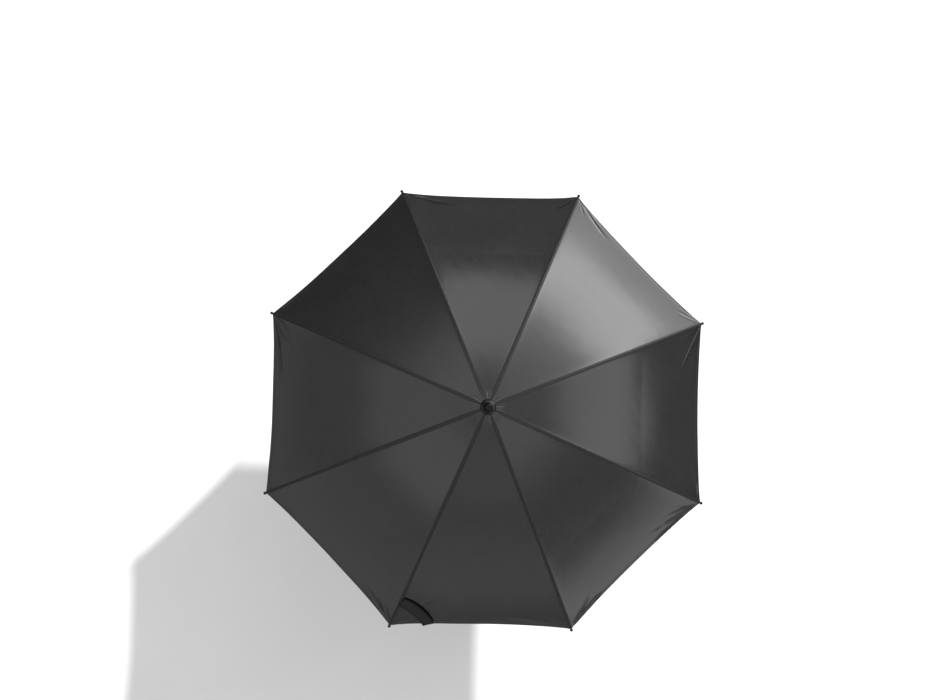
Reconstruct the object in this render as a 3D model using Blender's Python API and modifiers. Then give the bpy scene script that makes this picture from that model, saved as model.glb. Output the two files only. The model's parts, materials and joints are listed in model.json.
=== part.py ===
"""Golf umbrella, open: shaft upright along +Z, canopy on top, origin at the centre of the handle's flat end.

Each rib turns on the crown wire, and each stretcher turns on its rib joint and on the runner wire.
The stretcher is as long as the rib's arm, so the runner stays on the shaft while the frame folds.
"""

import math

import bmesh
import bpy
from mathutils import Euler, Matrix, Vector

# Driving dimensions, in metres and degrees.
RIBS = 8
FIRST_AZIMUTH = math.radians(22.5)
HALF_SPACING = math.pi / RIBS
RIB_ARC = 0.720  # from the crown pivot along the rib to the end of its tip
RIB_SLOPE_CROWN = math.radians(13.0)
RIB_SLOPE_TIP = math.radians(39.0)
ROD_RADIUS = 0.0016
CROWN_PIVOT_Z = 0.925
PIVOT_CIRCLE = 0.0125  # radius of both wire rings
JOINT_ARC = 0.346  # how far along the rib the stretcher is pinned
JOINT_DROP = 0.0054  # stretcher pivot below the rib's centre line
SHAFT_RADIUS = 0.007
SHAFT_WALL = 0.001
HANDLE_LENGTH = 0.175
HANDLE_RADIUS = 0.0150
GAP = 0.0003  # between pieces that touch on the real object

# Small parts of the frame.
EYE_RADIUS = 0.0020
EYE_HOLE = 0.00095
WIRE_RADIUS = 0.0006
PLATE_THICKNESS = 0.0022
SLOT_WIDTH = 0.0030
SLOT_FLOOR = 0.0100
FLANGE_RADIUS = 0.0155
FLANGE_HALF_HEIGHT = 0.0048
GROOVE_HALF_HEIGHT = 0.0012
CORE_RADIUS = 0.0112
ROD_START = 0.0100
ROD_END = 0.7050
STRETCHER_WIDTH = 0.0038
SLEEVE_BORE = ROD_RADIUS + GAP
SLEEVE_HALF = 0.0027
SLEEVE_LENGTH = 0.0200
EAR_GAP = PLATE_THICKNESS / 2 + GAP
EAR_THICKNESS = 0.0015
PIN_RADIUS = 0.0006
TIP_START = 0.6960
TIP_RADIUS = 0.0031
TIP_KNOB_RADIUS = 0.0044

# Canopy.
FABRIC_THICKNESS = 0.0008
FABRIC_LIFT = 0.0044  # underside of the canopy above the rib's centre line
FABRIC_START = 0.0062  # arc where the canopy's inner edge lies, under the top cap
FABRIC_END = 0.7040
HEM_DIP = 0.004  # how far the hem's middle is pulled towards the crown
MEMBRANE_SAG = 0.007  # how far a panel's middle is drawn in, where it is at least SAG_WIDTH wide
SAG_WIDTH = 0.34
SEAM_GAP = 0.0002

# Crown, runner and catches.
CAP_RADIUS = 0.0195
CAP_RIM_Z = 0.0050
CAP_TOP_Z = 0.0150
FERRULE_LENGTH = 0.0500
SHAFT_ABOVE_CROWN = 0.0300
RUNNER_SLEEVE = 0.0460
RUNNER_BORE = SHAFT_RADIUS + 0.0004
RUNNER_RADIUS = 0.0122
KEYWAY_RADIUS = 0.0101
KEYWAY_WIDTH = 0.0030
CATCH_NOSE = 0.0097
CATCH_THICKNESS = 0.0020
CATCH_LENGTH = 0.0280
CATCH_PIVOT_RADIUS = 0.0040
CATCH_AZIMUTH = math.radians(270.0)

# Tie strap, sewn to the seam of rib 6 near its tip.
STRAP_RIB = 6
STRAP_ARC = 0.603
STRAP_START = 0.003
STRAP_HEADING = math.radians(34.0)
STRAP_TURN = math.radians(38.0)
STRAP_WIDTH = 0.033
STRAP_LENGTH = 0.120
STRAP_BULGE = 0.0018
STRAP_THICKNESS = 0.0014
STRAP_CLEARANCE = 0.0012

RIB_BEND = RIB_ARC / (RIB_SLOPE_TIP - RIB_SLOPE_CROWN)  # radius of the rib's arc


def rib_slope(arc):
    return RIB_SLOPE_CROWN + arc / RIB_BEND


def rib_point(arc, lift=0.0):
    """A point on the rib's arc in its own plane: x outward from the crown pivot, z up."""
    slope = rib_slope(arc)
    x = RIB_BEND * (math.sin(slope) - math.sin(RIB_SLOPE_CROWN))
    z = RIB_BEND * (math.cos(slope) - math.cos(RIB_SLOPE_CROWN))
    return Vector((x + lift * math.sin(slope), 0.0, z + lift * math.cos(slope)))


STRETCHER_PIVOT = rib_point(JOINT_ARC, -JOINT_DROP)
ARM = STRETCHER_PIVOT.length
ARM_ANGLE = math.atan2(-STRETCHER_PIVOT.z, STRETCHER_PIVOT.x)
RUNNER_PIVOT_Z = CROWN_PIVOT_Z - 2 * ARM * math.sin(ARM_ANGLE)


def canopy_point(arc, share, side):
    """The canopy's underside beside a rib: share 0 is the seam on the rib, 1 the panel's middle crease.

    side is +1 for the half panel counter-clockwise of the rib, -1 for the other.
    """
    dipped = 1 - (1 - share) ** 2
    arc = arc - HEM_DIP * dipped * (arc / FABRIC_END) ** 3
    edge = rib_point(arc, FABRIC_LIFT)
    radius = PIVOT_CIRCLE + edge.x
    half_width = radius * math.sin(HALF_SPACING)
    across = SEAM_GAP + share * (half_width - 2 * SEAM_GAP)
    sag = MEMBRANE_SAG * dipped * min(1.0, 2 * half_width / SAG_WIDTH) ** 2
    x = edge.x - across * math.sin(HALF_SPACING)
    return Vector((x, side * across * math.cos(HALF_SPACING), edge.z)) - sag * panel_normal(arc, side)


def panel_normal(arc, side):
    """The panel's outward direction, which lies in the plane of its middle crease."""
    slope = rib_slope(arc)
    out = math.sin(slope)
    normal = Vector((out * math.cos(HALF_SPACING), side * out * math.sin(HALF_SPACING), 0.0))
    normal.z = math.cos(slope) * math.cos(HALF_SPACING)
    return normal.normalized()


# Materials.
def material(name, colour, roughness, metallic=0.0):
    made = bpy.data.materials.new(name)
    made.use_nodes = True
    shader = made.node_tree.nodes["Principled BSDF"]
    shader.inputs["Base Color"].default_value = (*colour, 1.0)
    shader.inputs["Roughness"].default_value = roughness
    shader.inputs["Metallic"].default_value = metallic
    return made


def make_materials():
    return {
        "canopy_fabric": material("canopy_fabric", (0.035, 0.035, 0.036), 0.55),
        "strap_fabric": material("strap_fabric", (0.02, 0.02, 0.021), 0.8),
        "black_rod": material("black_rod", (0.03, 0.03, 0.03), 0.35),
        "black_steel": material("black_steel", (0.05, 0.05, 0.05), 0.3, 0.8),
        "wire_steel": material("wire_steel", (0.6, 0.6, 0.6), 0.3, 1.0),
        "black_plastic": material("black_plastic", (0.015, 0.015, 0.015), 0.3),
        "grip_foam": material("grip_foam", (0.025, 0.025, 0.025), 0.85),
    }


# Making and joining solids.
def collection(name):
    made = bpy.data.collections.new(name)
    bpy.context.scene.collection.children.link(made)
    return made


def add_object(name, data, where, coat=None, parent=None, matrix=None):
    made = bpy.data.objects.new(name, data)
    where.objects.link(made)
    if coat is not None:
        data.materials.clear()
        data.materials.append(coat)
    made.parent = parent
    made.matrix_local = matrix or Matrix.Identity(4)
    return made


def pivot_empty(name, where, location, azimuth=0.0, parent=None):
    made = bpy.data.objects.new(name, None)
    where.objects.link(made)
    made.parent = parent
    made.location = location
    made.rotation_euler = Euler((0.0, 0.0, azimuth))
    made.empty_display_size = 0.01
    return made


def box_mesh(name, low, high):
    mesh = bmesh.new()
    bmesh.ops.create_cube(mesh, size=1.0)
    low, high = Vector(low), Vector(high)
    bmesh.ops.scale(mesh, vec=high - low, verts=mesh.verts)
    bmesh.ops.translate(mesh, vec=(low + high) / 2, verts=mesh.verts)
    data = bpy.data.meshes.new(name)
    mesh.to_mesh(data)
    mesh.free()
    return data


def cylinder_mesh(name, radius, length, sides=16):
    """A cylinder along Y, centred on the origin."""
    mesh = bmesh.new()
    bmesh.ops.create_cone(
        mesh, cap_ends=True, segments=sides, radius1=radius, radius2=radius, depth=length
    )
    bmesh.ops.rotate(mesh, matrix=Matrix.Rotation(math.pi / 2, 3, "X"), verts=mesh.verts)
    data = bpy.data.meshes.new(name)
    mesh.to_mesh(data)
    mesh.free()
    return data


def boolean(target, cutters, operation):
    for number, cutter in enumerate(cutters):
        cutter.hide_render = True
        cutter.display_type = "WIRE"
        step = target.modifiers.new(f"{operation.lower()}_{number}", "BOOLEAN")
        step.operation = operation
        step.object = cutter
        step.solver = "EXACT"


def curve_to_mesh(source, weld=1e-6):
    """The curve's evaluated shape as a mesh whose caps are welded to its sides."""
    bpy.context.view_layer.update()
    graph = bpy.context.evaluated_depsgraph_get()
    data = bpy.data.meshes.new_from_object(source.evaluated_get(graph))
    mesh = bmesh.new()
    mesh.from_mesh(data)
    bmesh.ops.remove_doubles(mesh, verts=mesh.verts, dist=weld)
    bmesh.ops.recalc_face_normals(mesh, faces=mesh.faces)
    mesh.to_mesh(data)
    mesh.free()
    bpy.data.objects.remove(source)
    return data


def baked_mesh(target):
    """The object's mesh with its modifiers applied, so that copies of it can share one mesh."""
    bpy.context.view_layer.update()
    graph = bpy.context.evaluated_depsgraph_get()
    data = bpy.data.meshes.new_from_object(target.evaluated_get(graph))
    bpy.data.objects.remove(target)
    return data


def smooth(data, angle=35.0):
    data.shade_smooth()
    data.set_sharp_from_angle(angle=math.radians(angle))
    return data


def turned(name, where, profile, coat, closed=True, sides=24, location=(0.0, 0.0, 0.0)):
    """A turned piece. The profile lists (radius, z), down the outer side and, if it is bored, up the bore."""
    data = bpy.data.meshes.new(name)
    points = [(radius, 0.0, z) for radius, z in profile]
    edges = [(i, i + 1) for i in range(len(points) - 1)]
    if closed:
        edges.append((len(points) - 1, 0))
    data.from_pydata(points, edges, [])
    made = add_object(name, data, where, coat)
    made.location = location
    screw = made.modifiers.new("turn", "SCREW")
    screw.axis = "Z"
    screw.steps = screw.render_steps = sides
    screw.use_merge_vertices = True
    screw.merge_threshold = 1e-5
    screw.use_smooth_shade = True
    return made


def outline_curve(name, where, outlines, thickness):
    """A flat plate from closed outlines of (x, z) points, standing in the XZ plane. Inner outlines are holes."""
    data = bpy.data.curves.new(name, "CURVE")
    data.dimensions = "2D"
    data.fill_mode = "BOTH"
    data.extrude = thickness / 2
    for outline in outlines:
        spline = data.splines.new("POLY")
        spline.points.add(len(outline) - 1)
        for point, (x, z) in zip(spline.points, outline):
            point.co = (x, z, 0.0, 1.0)
        spline.use_cyclic_u = True
    made = bpy.data.objects.new(name, data)
    where.objects.link(made)
    made.rotation_euler = (math.pi / 2, 0.0, 0.0)
    return made


def arc_points(centre, radius, start, end, count):
    steps = [start + (end - start) * i / (count - 1) for i in range(count)]
    return [(centre[0] + radius * math.cos(a), centre[1] + radius * math.sin(a)) for a in steps]


def circle_points(centre, radius, count=12):
    return arc_points(centre, radius, 0.0, 2 * math.pi * (count - 1) / count, count)


def plate_mesh(name, where, outlines, thickness):
    """The plate's mesh in the XZ plane, with its rotation applied."""
    curve = outline_curve(name, where, outlines, thickness)
    turn = curve.rotation_euler.to_matrix().to_4x4()
    data = curve_to_mesh(curve)
    data.transform(turn)
    return data


# Ribs, rib joints, tips and stretchers, each in the frame of its own pivot.
def rib_mesh(scratch):
    data = bpy.data.curves.new("rib", "CURVE")
    data.dimensions = "3D"
    data.bevel_depth = ROD_RADIUS
    data.bevel_resolution = 1
    data.use_fill_caps = True
    count = 15
    spline = data.splines.new("POLY")
    spline.points.add(count - 1)
    for i, point in enumerate(spline.points):
        point.co = (*rib_point(ROD_START + (ROD_END - ROD_START) * i / (count - 1)), 1.0)
    curve = bpy.data.objects.new("rib", data)
    scratch.objects.link(curve)
    rod = add_object("rib_rod", curve_to_mesh(curve), scratch)

    start, end = math.pi / 2 - RIB_SLOPE_CROWN, 3 * math.pi / 2 - RIB_SLOPE_CROWN
    tang = rib_point(ROD_START + 0.006)
    across = 0.0012
    side = Vector((math.sin(RIB_SLOPE_CROWN), 0.0, math.cos(RIB_SLOPE_CROWN))) * across
    outer = arc_points((0.0, 0.0), EYE_RADIUS, start, end, 9)
    outer += [(tang.x - side.x, tang.z - side.z), (tang.x + side.x, tang.z + side.z)]
    plate = plate_mesh("rib_eye", scratch, [outer, circle_points((0.0, 0.0), EYE_HOLE, 10)], PLATE_THICKNESS)
    eye = add_object("rib_eye", plate, scratch)
    boolean(rod, [eye], "UNION")
    made = baked_mesh(rod)
    bpy.data.objects.remove(eye)
    return smooth(made)


def stretcher_mesh(scratch):
    """A flat bar from the rib joint's pin at the origin to the runner wire, with an eye at each end."""
    far = Vector((PIVOT_CIRCLE, 0.0, RUNNER_PIVOT_Z)) - Vector(
        (PIVOT_CIRCLE + STRETCHER_PIVOT.x, 0.0, CROWN_PIVOT_Z + STRETCHER_PIVOT.z)
    )
    angle = math.atan2(far.z, far.x)
    outline = arc_points((0.0, 0.0), STRETCHER_WIDTH / 2, angle + math.pi / 2, angle + 3 * math.pi / 2, 7)
    outline += arc_points((far.x, far.z), STRETCHER_WIDTH / 2, angle - math.pi / 2, angle + math.pi / 2, 7)
    holes = [circle_points(centre, EYE_HOLE, 10) for centre in ((0.0, 0.0), (far.x, far.z))]
    return plate_mesh("stretcher", scratch, [outline, *holes], PLATE_THICKNESS)


def rib_joint_mesh(scratch):
    """A sleeve round the rib with two ears and the rivet that holds the stretcher. Origin on the rivet."""
    outer = EAR_GAP + EAR_THICKNESS
    sleeve = add_object(
        "joint_sleeve",
        box_mesh(
            "joint_sleeve",
            (-SLEEVE_LENGTH / 2, -SLEEVE_HALF, JOINT_DROP - SLEEVE_HALF),
            (SLEEVE_LENGTH / 2, SLEEVE_HALF, JOINT_DROP + SLEEVE_HALF),
        ),
        scratch,
    )
    ear_top = JOINT_DROP - SLEEVE_HALF / 2
    ears = [
        add_object(
            f"joint_ear_{side}",
            box_mesh(
                "ear",
                (-0.0032, min(side * EAR_GAP, side * outer), -0.0026),
                (0.0032, max(side * EAR_GAP, side * outer), ear_top),
            ),
            scratch,
        )
        for side in (-1, 1)
    ]
    pin = add_object("joint_pin", cylinder_mesh("joint_pin", PIN_RADIUS, 2 * outer + 0.0008, 8), scratch)
    bore_mesh = cylinder_mesh("joint_bore", SLEEVE_BORE, SLEEVE_LENGTH * 2, 10)
    bore_mesh.transform(
        Matrix.Translation((0.0, 0.0, JOINT_DROP)) @ Matrix.Rotation(math.pi / 2, 4, "Z")
    )
    bore = add_object("joint_bore", bore_mesh, scratch)
    boolean(sleeve, [*ears, pin], "UNION")
    boolean(sleeve, [bore], "DIFFERENCE")
    made = baked_mesh(sleeve)
    for helper in (*ears, pin, bore):
        bpy.data.objects.remove(helper)
    made.transform(Matrix.Rotation(rib_slope(JOINT_ARC), 4, "Y"))
    return smooth(made)


def rib_tip_mesh(scratch, coat):
    """A cap on the rib's end with a round knob, along the rib's last tangent."""
    length = RIB_ARC - TIP_START
    bore_depth = ROD_END - TIP_START + GAP
    neck = length - 1.9 * TIP_KNOB_RADIUS
    knob = arc_points((0.0, length - TIP_KNOB_RADIUS), TIP_KNOB_RADIUS, math.pi / 2, -math.pi / 5, 5)
    profile = [
        *knob,
        (0.0022, neck),
        (TIP_RADIUS, neck - 0.0016),
        (TIP_RADIUS, 0.0006),
        (TIP_RADIUS - 0.0005, 0.0),
        (SLEEVE_BORE, 0.0),
        (SLEEVE_BORE, bore_depth),
        (0.0, bore_depth),
    ]
    profile[0] = (0.0, length)
    cap = turned("tip", scratch, profile, coat, closed=False, sides=10)
    data = baked_mesh(cap)
    start = rib_point(TIP_START)
    lean = rib_slope((TIP_START + ROD_END) / 2)
    data.transform(Matrix.Translation(start) @ Matrix.Rotation(math.pi / 2 + lean, 4, "Y"))
    return smooth(data)


def half_panel_mesh(side):
    """Half a canopy panel, from the seam on its rib to the panel's middle crease."""
    along, across = 10, 3
    mesh = bmesh.new()
    bmesh.ops.create_grid(mesh, x_segments=along, y_segments=across, size=1.0)
    for vertex in mesh.verts:
        share_along = (vertex.co.x + 1) / 2
        share_across = (vertex.co.y + 1) / 2
        arc = FABRIC_START + (FABRIC_END - FABRIC_START) * share_along
        vertex.co = canopy_point(arc, share_across, side)
    if side < 0:
        bmesh.ops.reverse_faces(mesh, faces=mesh.faces)
    data = bpy.data.meshes.new("half_panel")
    mesh.to_mesh(data)
    mesh.free()
    data.shade_smooth()
    return data


def add_shell(target, thickness):
    shell = target.modifiers.new("thickness", "SOLIDIFY")
    shell.thickness = thickness
    shell.offset = 1.0
    return shell


def make_ribs(parts, scratch, coats, crown):
    shared = {
        "rib": rib_mesh(scratch),
        "stretcher": stretcher_mesh(scratch),
        "rib_joint": rib_joint_mesh(scratch),
        "rib_tip": rib_tip_mesh(scratch, coats["black_plastic"]),
        "left": half_panel_mesh(+1),
        "right": half_panel_mesh(-1),
    }
    pivots = []
    for number in range(1, RIBS + 1):
        azimuth = FIRST_AZIMUTH + (number - 1) * 2 * HALF_SPACING
        at = Vector((math.cos(azimuth), math.sin(azimuth), 0.0)) * PIVOT_CIRCLE
        pivot = pivot_empty(f"rib_{number}_pivot", parts, at, azimuth, crown)
        pin = pivot_empty(f"stretcher_{number}_pivot", parts, STRETCHER_PIVOT, 0.0, pivot)
        add_object(f"rib_{number}", shared["rib"], parts, coats["black_rod"], pivot)
        add_object(f"rib_tip_{number}", shared["rib_tip"], parts, coats["black_plastic"], pivot)
        add_object(f"rib_joint_{number}", shared["rib_joint"], parts, coats["black_plastic"], pin)
        add_object(f"stretcher_{number}", shared["stretcher"], parts, coats["black_steel"], pin)
        for half in ("left", "right"):
            panel = add_object(
                f"panel_{half}_of_rib_{number}", shared[half], parts, coats["canopy_fabric"], pivot
            )
            add_shell(panel, FABRIC_THICKNESS)
        pivots.append(pivot)
    return pivots


# Crown, runner and shaft, all turned about the shaft's axis.
def spool_profile(bore, top, bottom):
    """A hub whose two flanges leave a groove for the wire ring, round z 0."""
    return [
        (FLANGE_RADIUS - 0.0008, top),
        (FLANGE_RADIUS, top - 0.0008),
        (FLANGE_RADIUS, GROOVE_HALF_HEIGHT),
        (CORE_RADIUS, GROOVE_HALF_HEIGHT),
        (CORE_RADIUS, -GROOVE_HALF_HEIGHT),
        (FLANGE_RADIUS, -GROOVE_HALF_HEIGHT),
        (FLANGE_RADIUS, -FLANGE_HALF_HEIGHT + 0.0008),
        (FLANGE_RADIUS - 0.0008, -FLANGE_HALF_HEIGHT),
        *bottom,
        (bore, top),
    ]


def slot_cutters(name, helpers, z):
    """Eight slots for the rib or stretcher eyes, as one cutter."""
    reach = FLANGE_RADIUS * 1.4
    height = FLANGE_HALF_HEIGHT * 1.5
    mesh = bmesh.new()
    for number in range(RIBS):
        azimuth = FIRST_AZIMUTH + number * 2 * HALF_SPACING
        low = Vector((SLOT_FLOOR, -SLOT_WIDTH / 2, -height))
        high = Vector((reach, SLOT_WIDTH / 2, height))
        cube = bmesh.ops.create_cube(mesh, size=1.0)["verts"]
        bmesh.ops.scale(mesh, vec=high - low, verts=cube)
        bmesh.ops.translate(mesh, vec=(low + high) / 2, verts=cube)
        bmesh.ops.rotate(mesh, matrix=Matrix.Rotation(azimuth, 3, "Z"), verts=cube)
    data = bpy.data.meshes.new(name)
    mesh.to_mesh(data)
    mesh.free()
    return add_object(name, data, helpers, matrix=Matrix.Translation((0.0, 0.0, z)))


def wire_ring(name, parts, coat, z):
    bpy.ops.mesh.primitive_torus_add(
        major_radius=PIVOT_CIRCLE,
        minor_radius=WIRE_RADIUS,
        major_segments=24,
        minor_segments=6,
        location=(0.0, 0.0, z),
    )
    made = bpy.context.active_object
    made.name = made.data.name = name
    for other in list(made.users_collection):
        other.objects.unlink(made)
    parts.objects.link(made)
    made.data.materials.append(coat)
    smooth(made.data)
    return made


def make_crown(parts, helpers, coats):
    plastic = coats["black_plastic"]
    bore = SHAFT_RADIUS + GAP
    hub = turned(
        "crown_hub",
        parts,
        spool_profile(bore, FLANGE_HALF_HEIGHT, [(bore, -FLANGE_HALF_HEIGHT)]),
        plastic,
        location=(0.0, 0.0, CROWN_PIVOT_Z),
    )
    boolean(hub, [slot_cutters("crown_slots", helpers, CROWN_PIVOT_Z)], "DIFFERENCE")
    wire_ring("crown_wire", parts, coats["wire_steel"], CROWN_PIVOT_Z)

    wall = 0.0016
    dome = [
        (
            CAP_RADIUS * math.cos(a) + 0.0,
            CAP_RIM_Z + (CAP_TOP_Z - CAP_RIM_Z) * math.sin(a),
        )
        for a in (math.radians(d) for d in (62, 48, 34, 20, 8, 0))
    ]
    inner = [
        (
            (CAP_RADIUS - wall) * math.cos(a),
            CAP_RIM_Z + (CAP_TOP_Z - CAP_RIM_Z - wall) * math.sin(a),
        )
        for a in (math.radians(d) for d in (0, 20, 40, 60))
    ]
    cap = [(bore, CAP_TOP_Z), (dome[0][0], CAP_TOP_Z - 0.0002), *dome[1:], *inner, (bore, CAP_TOP_Z - wall)]
    turned("top_cap", parts, cap, plastic, location=(0.0, 0.0, CROWN_PIVOT_Z))

    base = CAP_TOP_Z + GAP
    top = base + FERRULE_LENGTH
    bore_top = SHAFT_ABOVE_CROWN + GAP
    ferrule = [
        (0.0, top - 0.0050),
        (0.0030, top - 0.0050),
        (0.0033, top),
        (0.0058, top),
        (0.0068, top - 0.0012),
        (0.0070, top - 0.0060),
        (0.0062, top - 0.0075),
        (0.0078, base + 0.0160),
        (0.0100, base + 0.0125),
        (0.0108, base + 0.0095),
        (0.0122, base + 0.0060),
        (0.0122, base + 0.0012),
        (0.0114, base),
        (bore, base),
        (bore, bore_top),
        (0.0, bore_top),
    ]
    turned("ferrule", parts, ferrule, plastic, closed=False, location=(0.0, 0.0, CROWN_PIVOT_Z))


def make_runner(parts, helpers, coats):
    """The sliding sleeve. Its keyway lets both shaft catches pass."""
    below = -RUNNER_SLEEVE
    bottom = [
        (RUNNER_RADIUS - 0.0008, -FLANGE_HALF_HEIGHT - 0.0020),
        (RUNNER_RADIUS - 0.0008, below + 0.0120),
        (RUNNER_RADIUS + 0.0012, below + 0.0085),
        (RUNNER_RADIUS + 0.0012, below + 0.0010),
        (RUNNER_RADIUS + 0.0002, below),
        (RUNNER_BORE, below),
    ]
    runner = turned(
        "runner",
        parts,
        spool_profile(RUNNER_BORE, FLANGE_HALF_HEIGHT, bottom),
        coats["black_plastic"],
        location=(0.0, 0.0, RUNNER_PIVOT_Z),
    )
    keyway = add_object(
        "runner_keyway",
        box_mesh(
            "runner_keyway",
            (-KEYWAY_WIDTH / 2, -KEYWAY_RADIUS, -RUNNER_SLEEVE * 1.2),
            (KEYWAY_WIDTH / 2, -SHAFT_RADIUS * 0.6, FLANGE_HALF_HEIGHT * 2),
        ),
        helpers,
        matrix=Matrix.Translation((0.0, 0.0, RUNNER_PIVOT_Z)),
    )
    boolean(runner, [slot_cutters("runner_slots", helpers, RUNNER_PIVOT_Z), keyway], "DIFFERENCE")
    wire_ring("runner_wire", parts, coats["wire_steel"], RUNNER_PIVOT_Z)


def catch_heights():
    """The z of each catch's pivot: one just under the open runner, one inside the closed runner."""
    return {
        "top_catch": RUNNER_PIVOT_Z - RUNNER_SLEEVE - 0.0006 - CATCH_LENGTH,
        "bottom_catch": HANDLE_LENGTH + 0.0170,
    }


def make_shaft(parts, helpers, coats):
    bottom, top = 0.0100, CROWN_PIVOT_Z + SHAFT_ABOVE_CROWN
    inner = SHAFT_RADIUS - SHAFT_WALL
    tube = [(SHAFT_RADIUS, top), (SHAFT_RADIUS, bottom), (inner, bottom), (inner, top)]
    shaft = turned("shaft_tube", parts, tube, coats["black_steel"])
    slots = []
    for name, z in catch_heights().items():
        slot = box_mesh(
            f"{name}_slot",
            (-CATCH_THICKNESS / 2 - GAP, -SHAFT_RADIUS * 1.3, z - 0.0030),
            (CATCH_THICKNESS / 2 + GAP, -0.0020, z + CATCH_LENGTH + 0.0015),
        )
        slots.append(add_object(f"{name}_slot", slot, helpers))
        make_catch(name, parts, coats, z)
    boolean(shaft, slots, "DIFFERENCE")


def make_catch(name, parts, coats, z):
    """A sprung plate in the shaft's slot: its nose stands out of the shaft and turns in when pressed."""
    pivot = pivot_empty(f"{name}_pivot", parts, (0.0, -CATCH_PIVOT_RADIUS, z), CATCH_AZIMUTH)
    nose = CATCH_NOSE - CATCH_PIVOT_RADIUS
    outline = [
        *arc_points((0.0, 0.0), 0.0014, math.pi, 2 * math.pi, 6),
        (0.0026, 0.0060),
        (nose - 0.0008, CATCH_LENGTH - 0.0060),
        (nose, CATCH_LENGTH - 0.0040),
        (nose, CATCH_LENGTH),
        (nose - 0.0040, CATCH_LENGTH),
        (-0.0012, 0.0080),
    ]
    data = plate_mesh(name, parts, [outline], CATCH_THICKNESS)
    add_object(name, data, parts, coats["black_steel"], pivot)


def make_handle(parts, coats):
    bore = SHAFT_RADIUS + GAP
    cap_height = 0.0090
    r = HANDLE_RADIUS
    cap = [
        (0.0, cap_height + 0.0120),
        (0.0050, cap_height + 0.0120),
        (0.0055, cap_height + 0.0110),
        (0.0055, cap_height),
        (r - 0.0002, cap_height),
        (r, cap_height - 0.0008),
        (r, 0.0024),
        (r - 0.0009, 0.0007),
        (r - 0.0026, 0.0),
        (0.0, 0.0),
    ]
    turned("handle_end_cap", parts, cap, coats["black_plastic"], closed=False)
    low, high = cap_height + GAP, HANDLE_LENGTH
    waist = [
        (r + 0.0010 - 0.0018 * math.sin(math.pi * i / 8) ** 2, high - 0.0160 - (high - low - 0.0220) * i / 8)
        for i in range(9)
    ]
    grip = [
        (0.0100, high),
        (0.0118, high - 0.0012),
        (0.0126, high - 0.0110),
        *waist,
        (r + 0.0002, low + 0.0010),
        (r - 0.0006, low),
        (bore, low),
        (bore, high),
    ]
    turned("handle_grip", parts, grip, coats["grip_foam"])


# Tie strap.
def strap_point(along, across):
    """A point on the strap's underside. It leaves the seam and curls towards the hem."""
    steps = 40
    beside, down = STRAP_START, 0.0
    for i in range(round(along * steps)):
        heading = STRAP_HEADING + STRAP_TURN * (i + 0.5) / steps
        beside += STRAP_LENGTH / steps * math.cos(heading)
        down += STRAP_LENGTH / steps * math.sin(heading)
    heading = STRAP_HEADING + STRAP_TURN * along
    offset = (across - 0.5) * STRAP_WIDTH
    beside -= offset * math.sin(heading)
    down += offset * math.cos(heading)
    down_rib = down / math.cos(HALF_SPACING)
    arc = STRAP_ARC + down_rib
    beside += down_rib * math.cos(rib_slope(arc)) * math.sin(HALF_SPACING)
    half_width = (PIVOT_CIRCLE + rib_point(arc).x) * math.sin(HALF_SPACING)
    share = min(1.0, max(0.0, beside / half_width))
    lift = FABRIC_THICKNESS + STRAP_CLEARANCE + STRAP_BULGE * math.sin(math.pi * along)
    back = Vector((math.sin(HALF_SPACING), -math.cos(HALF_SPACING), 0.0)) * max(0.0, -beside)
    return canopy_point(arc, share, +1) + lift * panel_normal(arc, +1) + back


def make_strap(parts, coats, pivots):
    mesh = bmesh.new()
    bmesh.ops.create_grid(mesh, x_segments=8, y_segments=2, size=1.0)
    for vertex in mesh.verts:
        vertex.co = strap_point((vertex.co.x + 1) / 2, (vertex.co.y + 1) / 2)
    bmesh.ops.recalc_face_normals(mesh, faces=mesh.faces)
    if sum((face.normal.z for face in mesh.faces), 0.0) < 0:
        bmesh.ops.reverse_faces(mesh, faces=mesh.faces)
    data = bpy.data.meshes.new("tie_strap")
    mesh.to_mesh(data)
    mesh.free()
    data.shade_smooth()
    strap = add_object("tie_strap", data, parts, coats["strap_fabric"], pivots[STRAP_RIB - 1])
    add_shell(strap, STRAP_THICKNESS)


def main():
    for old in list(bpy.data.objects):
        bpy.data.objects.remove(old)
    parts = collection("golf_umbrella")
    helpers = collection("cutters")
    coats = make_materials()
    crown = pivot_empty("crown", parts, (0.0, 0.0, CROWN_PIVOT_Z))
    pivots = make_ribs(parts, helpers, coats, crown)
    make_crown(parts, helpers, coats)
    make_runner(parts, helpers, coats)
    make_shaft(parts, helpers, coats)
    make_handle(parts, coats)
    make_strap(parts, coats, pivots)


main()
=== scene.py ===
"""Looks for the golf umbrella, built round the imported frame. Metres, the same frame as the CAD model."""

import json
import math

import bmesh
import bpy
import numpy as np
from mathutils import Euler, Matrix, Vector


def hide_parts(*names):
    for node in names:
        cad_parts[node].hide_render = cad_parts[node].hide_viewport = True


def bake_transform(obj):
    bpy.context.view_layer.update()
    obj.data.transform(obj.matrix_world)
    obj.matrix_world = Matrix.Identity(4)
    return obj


# The canopy's shape, as in the CAD model.
RIBS = 8
HALF = math.pi / RIBS
RIB_ARC = 0.720
SLOPE_CROWN = math.radians(13.0)
SLOPE_TIP = math.radians(39.0)
BEND = RIB_ARC / (SLOPE_TIP - SLOPE_CROWN)
CROWN_Z = 0.925
PIVOT_CIRCLE = 0.0125
CLOTH_START = 0.0062
CLOTH_END = 0.7040
CLOTH_LIFT = 0.0046
CLOTH_THICKNESS = 0.0004
HEM_DIP = 0.004
MEMBRANE_SAG = 0.007
SAG_WIDTH = 0.34
HEM_WIDTH = 0.010
FLOOR_DROP = 0.001  # the floor lies this far under the handle's end, so that the two don't share a face

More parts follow.
